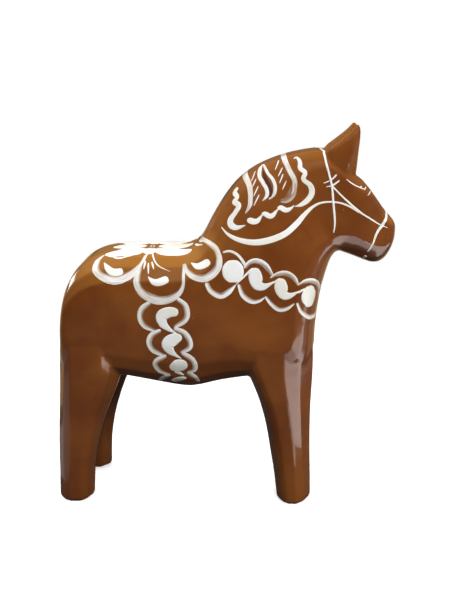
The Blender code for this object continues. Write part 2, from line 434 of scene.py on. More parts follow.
@dataclass(frozen=True)
class Beech:
    """Bare turned beech, pale and flecked along its grain."""

    name: str = "beech_dowel"
    light: Colour = (0.66, 0.46, 0.28, 1.0)
    dark: Colour = (0.47, 0.28, 0.15, 1.0)

    def make(self) -> bpy.types.Material:
        """Mix the finish."""
        desk = Palette(self.name)
        place = desk.object_place()
        grain = desk.noise(desk.scaled(place, (900.0, 60.0, 900.0)), 1.0, 4.0)
        flecks = desk.noise(desk.scaled(place, (1500.0, 250.0, 1500.0)), 1.0, 1.0)
        shade = desk.fit(desk.sum("ADD", grain, desk.sum("MULTIPLY", flecks, 0.3)), 0.45, 0.85)
        desk.finish(desk.blend(shade, self.light, self.dark), desk.relief(grain, 0.0001, 0.3),
                    Roughness=0.62)
        return desk.material


@dataclass
class PaintedCoat:
    """The continuous brown coat over the three glued boards."""

    boards: tuple[str, ...] = ("core_board", "left_board", "right_board")
    core: str = "core_board"
    merge: float = 0.01
    glue_squeeze: float = 0.5
    grain: float = 0.95
    soften: int = 2
    carving_size: float = 16.0
    carving_depth: float = 0.22

    def board_copy(self, node: bpy.types.Object) -> bpy.types.Object:
        """A merged copy of one board, whose glue faces reach into the next one if it is the core.

        Args:
            node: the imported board.

        Returns:
            The copy.
        """
        copy = bpy.data.objects.new(f"{node.name}_copy", node.data.copy())
        bpy.context.scene.collection.objects.link(copy)
        choose(copy)
        bpy.ops.object.mode_set(mode="EDIT")
        bpy.ops.mesh.select_all(action="SELECT")
        bpy.ops.mesh.remove_doubles(threshold=self.merge * MM)
        bpy.ops.object.mode_set(mode="OBJECT")
        if node.name == self.core:
            low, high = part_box(node.name)
            for vertex in copy.data.vertices:
                for face in (low.y, high.y):
                    if abs(vertex.co.y - face) < self.merge * MM:
                        vertex.co.y = face + math.copysign(self.glue_squeeze * MM, face)
        return copy

    def keep_outer_skin(self, coat: bpy.types.Object) -> None:
        """Delete the closed shells that the dowel holes leave inside the coat.

        Args:
            coat: the coat, of which the largest shell stays.
        """
        shape = bmesh.new()
        shape.from_mesh(coat.data)
        unseen = set(shape.verts)
        shells = []
        while unseen:
            edge_of_shell = [unseen.pop()]
            shell = list(edge_of_shell)
            while edge_of_shell:
                vertex = edge_of_shell.pop()
                for edge in vertex.link_edges:
                    other = edge.other_vert(vertex)
                    if other in unseen:
                        unseen.discard(other)
                        shell.append(other)
                        edge_of_shell.append(other)
            shells.append(shell)
        shells.sort(key=len)
        inner = [vertex for shell in shells[:-1] for vertex in shell]
        bmesh.ops.delete(shape, geom=inner, context="VERTS")
        shape.to_mesh(coat.data)
        shape.free()

    def build(self, nodes: dict[str, bpy.types.Object]) -> bpy.types.Object:
        """Lay the coat over the boards.

        Args:
            nodes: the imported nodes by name.

        Returns:
            The coat.
        """
        copies = [self.board_copy(nodes[name]) for name in self.boards]
        choose(*copies)
        bpy.ops.object.join()
        coat = copies[0]
        coat.name = "painted_coat"
        apply_modifier(coat, "REMESH", mode="VOXEL", voxel_size=self.grain * MM)
        self.keep_outer_skin(coat)
        apply_modifier(coat, "SMOOTH", factor=0.5, iterations=self.soften)
        knife = bpy.data.textures.new("carving", "CLOUDS")
        knife.noise_scale = self.carving_size * MM
        knife.noise_depth = 0
        apply_modifier(
            coat, "DISPLACE", texture=knife, texture_coords="LOCAL",
            strength=self.carving_depth * MM, mid_level=0.5,
        )
        choose(coat)
        bpy.ops.object.shade_smooth()
        return coat

    def dress(self, coat: bpy.types.Object, finish: bpy.types.Material) -> None:
        """Paint the coat and let it stand for the boards.

        Args:
            coat: the coat.
            finish: its paint.
        """
        coat.data.materials.clear()
        coat.data.materials.append(finish)
        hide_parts(*self.boards)
        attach(coat, BODY)


def shares(width: float, *parts: float) -> tuple[float, ...]:
    """The widths along a stroke, each stated as a share of one width."""
    return tuple(width * part for part in parts)


@dataclass(frozen=True)
class Stroke:
    """One stroke of the brush.

    Each mark that the stroke passes is (x, z) as seen from the side, or (x, y, z) with y measured
    outwards from the middle of the horse where the side view doesn't tell. The widths are spread
    evenly along the stroke. With white on one edge only, the widths are those of the white, and
    the faded paint beside it is wider by the fade. Softness is the share of the whole stroke in
    which the white thins out, and the opacity is 1 for paint that hides the brown.
    """

    marks: tuple[Mark, ...]
    widths: tuple[float, ...]
    load: Load = Load.FULL
    layer: int = 0
    fade: float = 0.8
    softness: float = 0.8
    opacity: float = 1.0

    def spread(self) -> tuple[float, float]:
        """How much wider the stroke is than its white, and how far it moves for that.

        Returns:
            The factor on its width, and the shift to its left as a share of the stated width.
        """
        if self.load is Load.LEFT_EDGE:
            return 1 + self.fade, -self.fade / 2
        if self.load is Load.RIGHT_EDGE:
            return 1 + self.fade, self.fade / 2
        return 1.0, 0.0


@dataclass
class Brush:
    """Lays strokes on the coat as thin closed films of paint."""

    coat: bpy.types.Object
    film: float = 0.10
    layer_step: float = 0.05
    tuck: float = 0.03
    wall: float = 0.25
    reach: float = 80.0
    step_along: float = 0.55
    cells_across: int = 8
    fine_cells_across: int = 4
    fine_width: float = 1.6
    least_width: float = 0.15
    least_end: float = 0.04
    steps_per_mark: int = 24
    neighbours: int = 3
    swell_power: int = 6
    early_loss: float = 0.62
    late_loss: float = 0.38
    bristle_unit: float = 10.0
    seed: int = 11

    def __post_init__(self) -> None:
        """Make the coat's surface ready to be measured."""
        graph = bpy.context.evaluated_depsgraph_get()
        self.skin = BVHTree.FromObject(self.coat, graph)
        self.chance = random.Random(self.seed)

    def on_coat(self, mark: Mark, side: Side) -> Vector:
        """The point of the coat that a mark names.

        Args:
            mark: (x, z) or (x, y, z), in millimetres.
            side: the side of the horse.

        Returns:
            The point, in metres.
        """
        if len(mark) == 2:
            start = Vector((mark[0] * MM, side.value * self.reach * MM, mark[1] * MM))
            hit, *_ = self.skin.ray_cast(start, Vector((0, -side.value, 0)))
            if hit is not None:
                return hit
            log.warning("the mark %s misses the coat", mark)
            mark = (mark[0], 0.0, mark[1])
        near, *_ = self.skin.find_nearest(
            Vector((mark[0] * MM, side.value * mark[1] * MM, mark[2] * MM))
        )
        return near

    def line(self, stroke: Stroke, side: Side) -> list[Vector]:
        """The middle line of a stroke.

        Args:
            stroke: the stroke.
            side: the side of the horse.

        Returns:
            Closely spaced points on the coat, evenly spread.
        """
        marks = [self.on_coat(mark, side) for mark in stroke.marks]
        fine = self.steps_per_mark * (len(marks) - 1)
        tracks = [tuple(mark[axis] for mark in marks) for axis in range(3)]
        rough = [
            Vector([between(track, step / fine) for track in tracks]) for step in range(fine + 1)
        ]
        walked = [0.0]
        for here, there in zip(rough, rough[1:]):
            walked.append(walked[-1] + (there - here).length)
        count = max(6, round(walked[-1] / (self.step_along * MM)))
        line = []
        index = 0
        for step in range(count + 1):
            goal = walked[-1] * step / count
            while index < fine - 1 and walked[index + 1] < goal:
                index += 1
            share = (goal - walked[index]) / max(walked[index + 1] - walked[index], 1e-9)
            near, *_ = self.skin.find_nearest(rough[index].lerp(rough[index + 1], share))
            line.append(near)
        return line

    def normals(self, line: list[Vector]) -> list[Vector]:
        """The coat's normals along a line, evened out.

        Args:
            line: points on the coat.

        Returns:
            A normal for each point.
        """
        raw = [self.skin.find_nearest(point)[1] for point in line]
        reach = self.neighbours
        return [
            sum(raw[max(index - reach, 0):index + reach + 1], Vector((0, 0, 0))).normalized()
            for index in range(len(raw))
        ]

    def charge(self, stroke: Stroke, share: float, across: float) -> float:
        """How much white there is at a point of the stroke.

        Args:
            stroke: the stroke.
            share: from 0 at the start of the stroke to 1 at its end.
            across: from -0.5 at the right edge of its travel to 0.5 at the left.

        Returns:
            The charge, from 0 to 1.
        """
        ends = smooth_step(-0.05, 0.06, share) * smooth_step(-0.04, 0.10, 1 - share)
        if stroke.load is Load.FULL:
            return stroke.opacity * (0.7 + 0.3 * ends)
        inward = 0.5 - (across if stroke.load is Load.LEFT_EDGE else -across)
        soft = stroke.softness
        thinner = smooth_step(1 - soft, 1 - 0.55 * soft, inward)
        gone = smooth_step(1 - 0.5 * soft, 1.02, inward)
        left = 1 - self.early_loss * thinner - self.late_loss * gone
        return stroke.opacity * left * (0.35 + 0.65 * ends)

    def lay(self, stroke: Stroke, side: Side, name: str) -> bpy.types.Object:
        """Lay one stroke on the coat.

        Args:
            stroke: the stroke.
            side: the side of the horse that it is laid on.
            name: the name of the new object.

        Returns:
            The film of paint, as a closed mesh.
        """
        line = self.line(stroke, side)
        normals = self.normals(line)
        count = len(line) - 1
        length = sum((b - a).length for a, b in zip(line, line[1:]))
        fine = stroke.load is Load.FULL and max(stroke.widths) < self.fine_width
        cells = self.fine_cells_across if fine else self.cells_across
        deselect_all()
        bpy.ops.mesh.primitive_grid_add(x_subdivisions=count, y_subdivisions=cells, size=1.0)
        film = bpy.context.active_object
        film.name = name
        mesh = film.data
        streak = self.chance.uniform(0.0, 40.0)
        wider, shift = stroke.spread()
        thickness = (self.film + self.layer_step * stroke.layer) * MM
        unit = self.bristle_unit * MM
        places, charges = [], []
        for vertex in mesh.vertices:
            share = vertex.co.x + 0.5
            across = vertex.co.y
            index = min(round(share * count), count)
            ahead = line[min(index + 1, count)] - line[max(index - 1, 0)]
            normal = normals[index]
            out = normal.cross(ahead).normalized() * -side.value
            width = max(between(stroke.widths, share), self.least_width) * MM
            from_end = min(share, 1 - share) * length
            cap = min(1.0, from_end / (width * 0.5))
            width *= max(math.sqrt(1 - (1 - cap) ** 2), self.least_end)
            point = line[index] + out * ((across * wider + shift) * width)
            near, skin_normal, *_ = self.skin.find_nearest(point)
            swell = 1 - abs(2 * across) ** self.swell_power
            charge = self.charge(stroke, share, across)
            lift = thickness * swell * min(1.0, cap * 2) * (0.25 + 0.75 * charge) - self.tuck * MM
            vertex.co = near + skin_normal * lift
            places.append((share * length / unit + streak, across * wider * width / unit))
            charges.append(charge)
        for loop, corner in zip(mesh.loops, mesh.uv_layers.active.data):
            corner.uv = places[loop.vertex_index]
        loads = mesh.attributes.new("load", "FLOAT", "POINT")
        loads.data.foreach_set("value", charges)
        if mesh.polygons[len(mesh.polygons) // 2].normal.dot(normals[count // 2]) < 0:
            mesh.flip_normals()
        apply_modifier(film, "SOLIDIFY", thickness=self.wall * MM, offset=-1.0)
        return film


@dataclass
class Ornament:
    """A painted figure of the horse: its strokes, on one side or on both."""

    name: str
    strokes: tuple[Stroke, ...]
    both_sides: bool = True
    slot: str = "white_paint"

    def paint(
        self, brush: Brush, finishes: dict[str, bpy.types.Material]
    ) -> list[bpy.types.Object]:
        """Paint the figure.

        Args:
            brush: what lays the strokes.
            finishes: the paint for each slot.

        Returns:
            One piece for each side.
        """
        pieces = []
        for side in (Side.RIGHT, Side.LEFT) if self.both_sides else (Side.RIGHT,):
            name = f"{self.name}_{side.name.lower()}" if self.both_sides else self.name
            films = [
                brush.lay(stroke, side, f"{name}_{index}")
                for index, stroke in enumerate(self.strokes)
            ]
            choose(*films)
            if len(films) > 1:
                bpy.ops.object.join()
            piece = films[0]
            piece.name = name
            bpy.ops.object.transform_apply(location=True, rotation=True, scale=True)
            bpy.ops.object.shade_smooth()
            piece.data.materials.clear()
            piece.data.materials.append(finishes[self.slot])
            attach(piece, BODY)
            pieces.append(piece)
        return pieces


def dash(start: Mark, end: Mark, width: float = 0.75) -> Stroke:
    """A short straight flick of a thin brush, lighter at its end.

    Args:
        start: its first mark.
        end: its last mark.
        width: its greatest width.

    Returns:
        The stroke.
    """
    middle = tuple((a + b) / 2 for a, b in zip(start, end))
    return Stroke((start, middle, end), shares(width, 0.7, 1.0, 0.5))


@dataclass(frozen=True)
class Widths:
    """How wide the brush goes in each kind of stroke."""

    band: float = 2.9
    leaf: float = 2.2
    wave: float = 3.0
    rope: float = 3.4
    strap: float = 0.9
    tie: float = 0.75
    rein: float = 3.5
    breast_scallop: float = 2.6
    thin_scallop: float = 2.0
    girth_scallop: float = 2.4
    rim: float = 4.0
    comma: float = 4.5


WIDTHS = Widths()


def mane_bands() -> Ornament:
    """The two broad bands that come down from the crest, and the haze where one ends."""
    w = WIDTHS.band
    rear = Stroke((
        (11.6, 0, 175), (12.8, 10, 173), (14.1, 170.4), (14.8, 167.1), (14.9, 163.8),
        (14.5, 160.5), (12.2, 156.6)), shares(w, 1.4, 1.35, 1.25, 1.15, 1, 0.85, 0.2),
        opacity=0.62)
    front = Stroke((
        (31.4, 0, 185), (32, 10, 182.6), (34.3, 177.9), (36.7, 173.6), (37.1, 170.6),
        (36.7, 167.4), (35.4, 164.8)), shares(w, 1.1, 1.15, 1.1, 1, 1, 0.95, 0.6), opacity=0.56)
    haze = Stroke((
        (37, 172), (36.8, 168.6), (35.6, 165.4), (33, 163.2), (29.6, 162.6)),
        shares(w, 0.7, 1.15, 1.4, 1.1, 0.5), Load.LEFT_EDGE, fade=0.3, opacity=0.36, layer=1)
    return Ornament("mane_bands", (rear, front, haze))


def mane_leaf() -> Ornament:
    """The pointed leaf, two strokes that meet at its tip."""
    w = WIDTHS.leaf
    rear = Stroke((
        (21.1, 180.1), (19.5, 177.5), (19.4, 174.5), (21.2, 171.6), (23.1, 168.3), (23, 165.4),
        (20.8, 162.8)), shares(w, 0.3, 1, 1.1, 1.05, 1, 0.95, 0.2), opacity=0.72)
    front = Stroke((
        (21.3, 180.1), (23.4, 176.5), (26.2, 173.1), (27.3, 169.7), (26.7, 166.1), (24, 163.6)),
        shares(w, 0.3, 0.7, 0.8, 0.85, 0.85, 0.35), opacity=0.72)
    return Ornament("mane_leaf", (rear, front))


def mane_heart() -> Ornament:
    """The dark glaze inside the leaf."""
    return Ornament("mane_leaf_heart", (
        Stroke((
            (21.2, 177.4), (22.2, 174), (24.4, 170.2), (25.2, 166.6), (24.8, 164.4)),
            (0.6, 1.7, 2.1, 1.9, 0.7)),
    ), slot="brown_gloss_paint")


def mane_dashes() -> Ornament:
    """The rows of thin dashes on both sides of the leaf."""
    return Ornament("mane_dashes", tuple(dash(start, end) for start, end in (
        ((17.4, 177), (15.2, 172)), ((17.8, 173.6), (15.8, 169.4)),
        ((18.9, 170.2), (16.4, 165)), ((19.4, 166.2), (16.5, 160.4)),
        ((29.2, 182.4), (27.2, 177.6)), ((31, 179.2), (28.7, 174.6)),
        ((31.3, 176.2), (29.4, 171.4)), ((33, 173), (30.8, 168.2)),
    )))


def mane_waves() -> Ornament:
    """The two wavy strokes that hang outside the bands."""
    w = WIDTHS.wave
    rear = Stroke((
        (8.6, 169), (6.7, 166.4), (8.2, 164.4), (6.7, 162.1), (9, 160.5), (7.5, 157.4), (5, 153.8),
        (5, 151.2), (7.9, 149.8), (12.8, 151.2)),
        shares(w, 0.85, 1, 0.9, 1.1, 1, 0.95, 1.15, 1.25, 0.7, 0.12), opacity=0.8)
    front = Stroke((
        (36.4, 183), (38, 183.8), (39.6, 181.8), (39.8, 178.8), (42.2, 176.6), (41.4, 173.4),
        (44.8, 170.4), (45.8, 166.8), (43.8, 163.2), (40.2, 160.8), (36.8, 160)),
        shares(w, 0.2, 0.6, 0.85, 0.85, 0.85, 0.85, 1.05, 1.1, 1, 0.7, 0.12), opacity=0.8)
    return Ornament("mane_waves", (rear, front))


def mane_rope() -> Ornament:
    """The rope of three curls under the mane."""
    w = WIDTHS.rope
    widths = shares(w, 0.4, 0.75, 0.85, 0.8, 0.6, 0.3, 0.12)
    return Ornament("mane_rope", (
        Stroke((
            (13, 153.5), (14.7, 153.4), (16.5, 152.9), (18.3, 153.2), (19.6, 154.5), (21.4, 157)),
            shares(w, 0.7, 1, 0.95, 0.7, 0.35, 0.12), opacity=0.85),
        Stroke((
            (20.4, 156.4), (22.2, 156.7), (23.8, 155.8), (25.3, 155.5), (26.6, 156.3),
            (27.8, 157.8), (29.4, 159.4)), widths, opacity=0.85),
        Stroke((
            (28.4, 158.8), (30, 159.6), (31.4, 158.9), (32.9, 158.3), (34.4, 158.7), (35.6, 159.4),
            (37, 160.8)), widths, opacity=0.85),
    ))


def rein() -> Ornament:
    """The rein: a broad crescent on the neck that narrows to a line on the cheek."""
    w = WIDTHS.rein
    return Ornament("rein", (
        Stroke((
            (0, 149.8), (3.6, 146.4), (9.4, 143.8), (17, 142.6), (24.8, 143.8), (32.4, 146.8),
            (38, 151.4), (42, 155.8), (46, 159.4), (50, 161.4), (55.6, 162), (60.8, 161.2),
            (65.6, 159.2), (70.2, 156.2)),
            (0.4, *shares(w, 0.5, 0.75, 0.9, 1, 1, 0.95, 0.9, 0.7, 0.42), 0.95, 0.95, 1.1, 0.9)),
    ))


def bridle_straps() -> Ornament:
    """The cheek strap, the strap to the mouth, the noseband and the chin."""
    s = WIDTHS.strap
    return Ornament("bridle_straps", (
        Stroke((
            (50.8, 0, 187.6), (51.4, 8, 186), (52.6, 181.6), (54.6, 174.4), (55.8, 169.6),
            (56.6, 162), (57.6, 151.6), (57, 146.4)), shares(s, 1.5, 1.4, 1.1, 1, 1, 1, 1, 0.4)),
        Stroke((
            (55.8, 170), (62, 163.8), (70.2, 156.7), (76.4, 152.6), (81.8, 149.2), (85.6, 147.8)),
            shares(s, 1, 1.05, 1.4, 1.15, 1, 0.4), layer=1),
        Stroke((
            (85, 0, 156.5), (84.4, 5, 154.6), (82.6, 149.8), (79.4, 145), (75.2, 135.2)),
            shares(s, 1.7, 1.9, 1.8, 1.3, 1.1), layer=1),
        Stroke(((74.8, 133.4), (73.6, 130.6), (73.4, 0, 129)), shares(s, 1.9, 1.8, 1)),
    ))


def bridle_ties() -> Ornament:
    """The small cross marks where the straps meet, and the line over the brow."""
    t = WIDTHS.tie
    return Ornament("bridle_ties", (
        Stroke(((58.2, 175.8), (55.4, 173), (51.2, 171.2)), shares(t, 1.3, 1.2, 0.4)),
        Stroke(((59.8, 172.8), (56.4, 170.4), (52.6, 169.4)), shares(t, 1, 1.4, 0.4)),
        Stroke(((62.8, 173.4), (66, 171), (69.4, 169.2), (73, 167.6)), shares(t, 0.6, 1, 1, 0.8)),
        dash((71, 169.6), (70.2, 168.4)),
        dash((73.4, 169), (72.4, 167.4)),
        dash((76, 166.8), (74, 164.6)),
    ))


def breast_scallops() -> Ornament:
    """The row of arcs above the band and the row below it."""
    w, t = WIDTHS.breast_scallop, WIDTHS.thin_scallop
    first = Stroke((
        (0.9, 137.5), (4.2, 138.3), (7.4, 137.3), (10.2, 134.7), (12.6, 131)),
        shares(t, 0.5, 0.7, 0.75, 0.8, 0.9), opacity=0.75)
    above = (
        (((11.8, 129.6), (14.6, 132.8), (18.6, 133.6), (23, 131.2), (26.6, 125.6)),
         shares(w, 0.6, 0.9, 1, 0.95, 0.5)),
        (((24.8, 124.8), (28.6, 127), (33.2, 127.6), (37.2, 125.2), (39.4, 121.4)),
         shares(w, 0.3, 0.8, 0.95, 0.9, 0.4)),
        (((38.6, 121.2), (42.6, 123.3), (46.8, 22.8, 122.9), (50.2, 18.2, 119), (50, 17, 112.8)),
         shares(w, 0.3, 0.85, 1, 0.9, 0.4)),
    )
    below = (
        (((-7.4, 123), (-5.2, 118.6), (-0.2, 115.8), (4.2, 117.8), (7.8, 121.8)),
         shares(w, 0.8, 1, 1.1, 1, 0.3)),
        (((9, 122), (11, 116.2), (15.6, 112.8), (19.6, 113.2), (22.6, 115.4)),
         shares(w, 0.6, 0.85, 0.95, 0.7, 0.3)),
        (((22.4, 115.8), (25.4, 111.8), (29.4, 108.8), (33.6, 109.4), (37.6, 112.4)),
         shares(w, 0.4, 0.75, 0.8, 0.7, 0.25)),
        (((38.6, 112.8), (40.8, 107.6), (45.2, 23.8, 103.8), (48.4, 17.6, 103.8), (50, 14, 108)),
         shares(w, 0.5, 0.8, 1, 0.9, 0.6)),
    )
    return Ornament("breast_scallops", (first, *(
        Stroke(*arc, load, fade=fade, softness=softness, opacity=0.95)
        for load, fade, softness, row in (
            (Load.LEFT_EDGE, 0.35, 0.9, above), (Load.RIGHT_EDGE, 0.3, 0.6, below)
        ) for arc in row
    )))


def breast_filling() -> Ornament:
    """The disc, the two curls and the oval, joined by thin lines."""
    return Ornament("breast_curls", (
        Stroke(((6.2, 134.4), (6.2, 128.3), (6.1, 122.2)), (10, 11.8, 10), layer=1),
        Stroke(((7.6, 121.6), (11.2, 125), (14, 127.7), (17, 129.6)), (0.5, 0.9, 1.2, 2.2),
               layer=1),
        Stroke((
            (18.2, 130.2), (17.5, 126), (18.8, 121.6), (22.2, 120.7), (27.6, 123.4)),
            (4.8, 7.4, 6, 2.5, 0.6), layer=1),
        Stroke(((25.6, 121.8), (28.2, 123.6), (30.6, 124.4)), (0.5, 1, 1.9), layer=1),
        Stroke((
            (31.2, 125), (30.5, 120.8), (31.8, 116.8), (35, 116.2), (40, 118.6)),
            (4.6, 7.2, 5.6, 2.4, 0.5), layer=1),
        dash((38.6, 117.4), (43, 119.6), 1.3),
        Stroke(((44.8, 121), (45.1, 115), (45.6, 109)), (8, 11.2, 8), layer=1),
    ))


def breast_front() -> Ornament:
    """The disc and its two arcs in the middle of the breast, where the sides' bands meet."""
    w = WIDTHS.breast_scallop
    widths = shares(w, 0.5, 0.9, 1, 0.9, 0.5)
    return Ornament("breast_front", (
        Stroke((
            (50, -15, 117), (52, -9, 123), (53, 0, 125), (52, 9, 123), (50, 15, 117)), widths,
            Load.RIGHT_EDGE),
        Stroke((
            (50, -14.5, 109), (50, -9, 103), (50, 0, 101), (50, 9, 103), (50, 14.5, 109)), widths,
            Load.LEFT_EDGE),
        Stroke(((52, 0, 119), (52, 0, 113), (52, 0, 107)), (8, 10, 8), layer=1),
    ), both_sides=False)


def girth_scallops() -> Ornament:
    """The arcs behind and in front of the curls."""
    w = WIDTHS.girth_scallop
    widths = shares(w, 0.75, 1, 1, 0.95, 0.6)
    rear = (
        ((-35.4, 113.4), (-40.2, 110), (-41.6, 104.8), (-39.4, 100.2), (-33.4, 97.4)),
        ((-30.6, 98.4), (-35.6, 96), (-37.4, 91.4), (-35, 86.6), (-29, 84)),
        ((-28.2, 84.6), (-33.4, 81.8), (-34.8, 78.4), (-32.4, 74.4), (-27.2, 72.4)),
        ((-26.8, 73), (-30.8, 70.8), (-33.4, 67.4)),
    )
    front = (
        ((-22.2, 115.2), (-17.8, 111.6), (-16.6, 106.4), (-18.8, 102.4), (-24.2, 99.4)),
        ((-24.2, 99.6), (-18.4, 97), (-15.6, 92.4), (-16.2, 88.2), (-21.2, 85.8)),
        ((-20.4, 86.4), (-15, 82.8), (-13.2, 78.6), (-14.2, 75.4), (-18.2, 74.2)),
        ((-18, 74.8), (-13.8, 71.6), (-12, 67.4)),
    )
    return Ornament("girth_scallops", tuple(
        Stroke(marks, widths, load, fade=0.5, softness=0.6, opacity=0.8)
        for load, row in ((Load.RIGHT_EDGE, rear), (Load.LEFT_EDGE, front)) for marks in row
    ))


def girth_filling() -> Ornament:
    """The curls down the middle of the band."""
    return Ornament("girth_curls", (
        Stroke((
            (-21.4, 107.2), (-25.8, 107.8), (-30, 105.8), (-29.6, 101.8), (-26.4, 98.6),
            (-22.2, 96.2)), (4.4, 5.8, 6.4, 4.8, 2.2, 0.5), layer=1),
        Stroke((
            (-19.8, 94.4), (-23.6, 93.6), (-27.2, 91), (-26.6, 87.6), (-24, 84.8), (-20.4, 82.6)),
            (4, 6.6, 7.2, 5.2, 2.2, 0.5), layer=1),
        Stroke(((-17.3, 79.9), (-22, 78.4), (-27, 76.3)), (5.8, 8.2, 4.6), layer=1),
        Stroke(((-24.6, 75.4), (-22, 73.8), (-19.6, 72.6)), (2.6, 2.4, 0.8), layer=1),
        Stroke(((-18.4, 70.8), (-22.6, 69.6), (-26.6, 67.6)), (2.6, 4.2, 2.4), layer=1),
    ))


def saddle_rims() -> Ornament:
    """The three petals' rims on each side, white outside and fading inwards."""
    w = WIDTHS.rim
    rear = Stroke((
        (-61, 14, 134), (-64, 19.4, 131.6), (-64.6, 23.7, 129), (-62, 26.2, 126.2),
        (-56.6, 27.8, 123.8), (-51.6, 27.8, 123.6), (-46, 27, 126.2), (-42, 25, 129.6),
        (-40, 21.5, 132.8), (-38.9, 17, 135)),
        (*shares(w, 0.3, 0.75, 0.9, 1, 1.15, 1.15, 1.05, 0.7, 0.35), 0.7), Load.RIGHT_EDGE,
        fade=0.25, softness=0.35, opacity=0.66)
    middle = Stroke((
        (-40.4, 23, 131.4), (-42.6, 27.6, 125.4), (-42.2, 29, 120.8), (-38.6, 29.7, 116.4),
        (-32.4, 29.8, 113.8), (-26, 29.7, 114.2), (-21.2, 29.3, 117.2), (-19, 28.6, 121.4),
        (-18.8, 26.6, 126.4), (-19, 22.8, 131.6)),
        shares(w, 0.3, 0.75, 0.9, 1.05, 1.2, 1.05, 0.8, 0.5, 0.4, 0.3), Load.RIGHT_EDGE, fade=0.25,
        softness=0.4, opacity=0.66)
    front = Stroke((
        (-18.8, 22.9, 131.7), (-17.4, 25.7, 128.4), (-13.6, 27.6, 125.6), (-8.5, 27.6, 124.6),
        (-4.3, 27, 126.4), (-1.1, 26, 130.1), (-0.5, 24.8, 134.5), (-2, 22.6, 138.8),
        (-5, 20.4, 141.3), (-8.4, 14, 141.8), (-11, 6, 141.4)),
        shares(w, 0.5, 0.7, 0.85, 0.95, 0.9, 0.8, 0.7, 0.7, 0.6, 0.6, 0.3), Load.RIGHT_EDGE,
        fade=0.3, softness=0.4, opacity=0.66)
    return Ornament("saddle_rims", (rear, middle, front))


def saddle_commas() -> Ornament:
    """The comma in each petal."""
    w = WIDTHS.comma
    widths = (0.4, *shares(w, 0.75, 1, 0.95))
    return Ornament("saddle_commas", (
        Stroke(((-60.2, 21, 131.6), (-56.8, 128.6), (-53.4, 127.6), (-49.4, 128.4)), widths),
        Stroke(((-37, 125.8), (-33.8, 123.2), (-30.6, 123.2), (-26.2, 124.9)), widths),
        Stroke(((-15.4, 22.9, 132.1), (-12, 130.6), (-8.4, 131.6), (-5.4, 133.6)), widths),
    ))


def saddle_stamens() -> Ornament:
    """The thin lines and dashes that come down from the heart of the flower."""
    return Ornament("saddle_stamens", (
        Stroke((
            (-35.8, 15, 135.4), (-34.4, 20.6, 133.2), (-31.4, 24.2, 130.4), (-25.4, 25.8, 128)),
            (0.9, 0.9, 0.7, 0.25)),
        Stroke(((-38, 15, 135.6), (-39.4, 21.4, 132.8), (-42, 25, 129.4)), (0.9, 0.9, 0.6)),
        dash((-38.6, 21.4, 132.8), (-39.2, 25.4, 128.9), 1.1),
        dash((-37.1, 22.4, 132), (-36.7, 26.6, 126.8), 1.1),
        dash((-35.4, 21.8, 132.4), (-34, 25.4, 128.9), 1.1),
    ))


def saddle_heart() -> Ornament:
    """The white petals on top of the back, laid over each other from the middle outwards."""
    return Ornament("saddle_heart", (
        Stroke((
            (-41, 5, 136.5), (-46.5, 11, 136), (-53, 14.5, 135), (-61, 14, 134.4)),
            (5.5, 15.5, 14.5, 3)),
        Stroke((
            (-34, 5, 136.5), (-28.5, 11, 136), (-22, 13.5, 136), (-15.2, 14.5, 136.6)),
            (5.5, 14.5, 12, 5), layer=1),
        Stroke(((-37.6, 5, 136.5), (-37.6, 10, 136), (-37.8, 16.8, 135)), (5, 8, 6.6), layer=2),
        Stroke(((-14, 6, 138), (-12.2, 12, 138.6), (-9, 16.6, 139.6)), (1.2, 1.6, 0.6),
               opacity=0.8),
        Stroke(((-11.6, 5, 140), (-10.4, 11, 140.6), (-7.6, 15.6, 141)), (1.2, 2, 0.8),
               opacity=0.8),
    ))


def saddle_spine() -> Ornament:
    """The two petals that lie along the middle of the back."""
    return Ornament("saddle_spine", (
        Stroke(((-40.4, 0, 136.5), (-49, 0, 136.5), (-59, 0, 135.5)), (5.5, 14, 7), layer=2),
        Stroke(((-34.6, 0, 136.5), (-25, 0, 136.5), (-15.5, 0, 137.5)), (5.5, 14, 7), layer=2),
        dash((-38.6, 2.4, 136.5), (-38, -2.4, 136.5), 0.9),
        dash((-36.6, 2.4, 136.5), (-37, -2.4, 136.5), 0.9),
    ), both_sides=False)


def figures() -> list[Ornament]:
    """Every figure, in the order in which they are painted."""
    return [
        mane_bands(), mane_leaf(), mane_heart(), mane_dashes(), mane_waves(), mane_rope(), rein(),
        bridle_straps(), bridle_ties(), breast_scallops(), breast_filling(), breast_front(),
        girth_scallops(), girth_filling(), saddle_rims(), saddle_commas(), saddle_stamens(),
        saddle_heart(), saddle_spine()
    ]


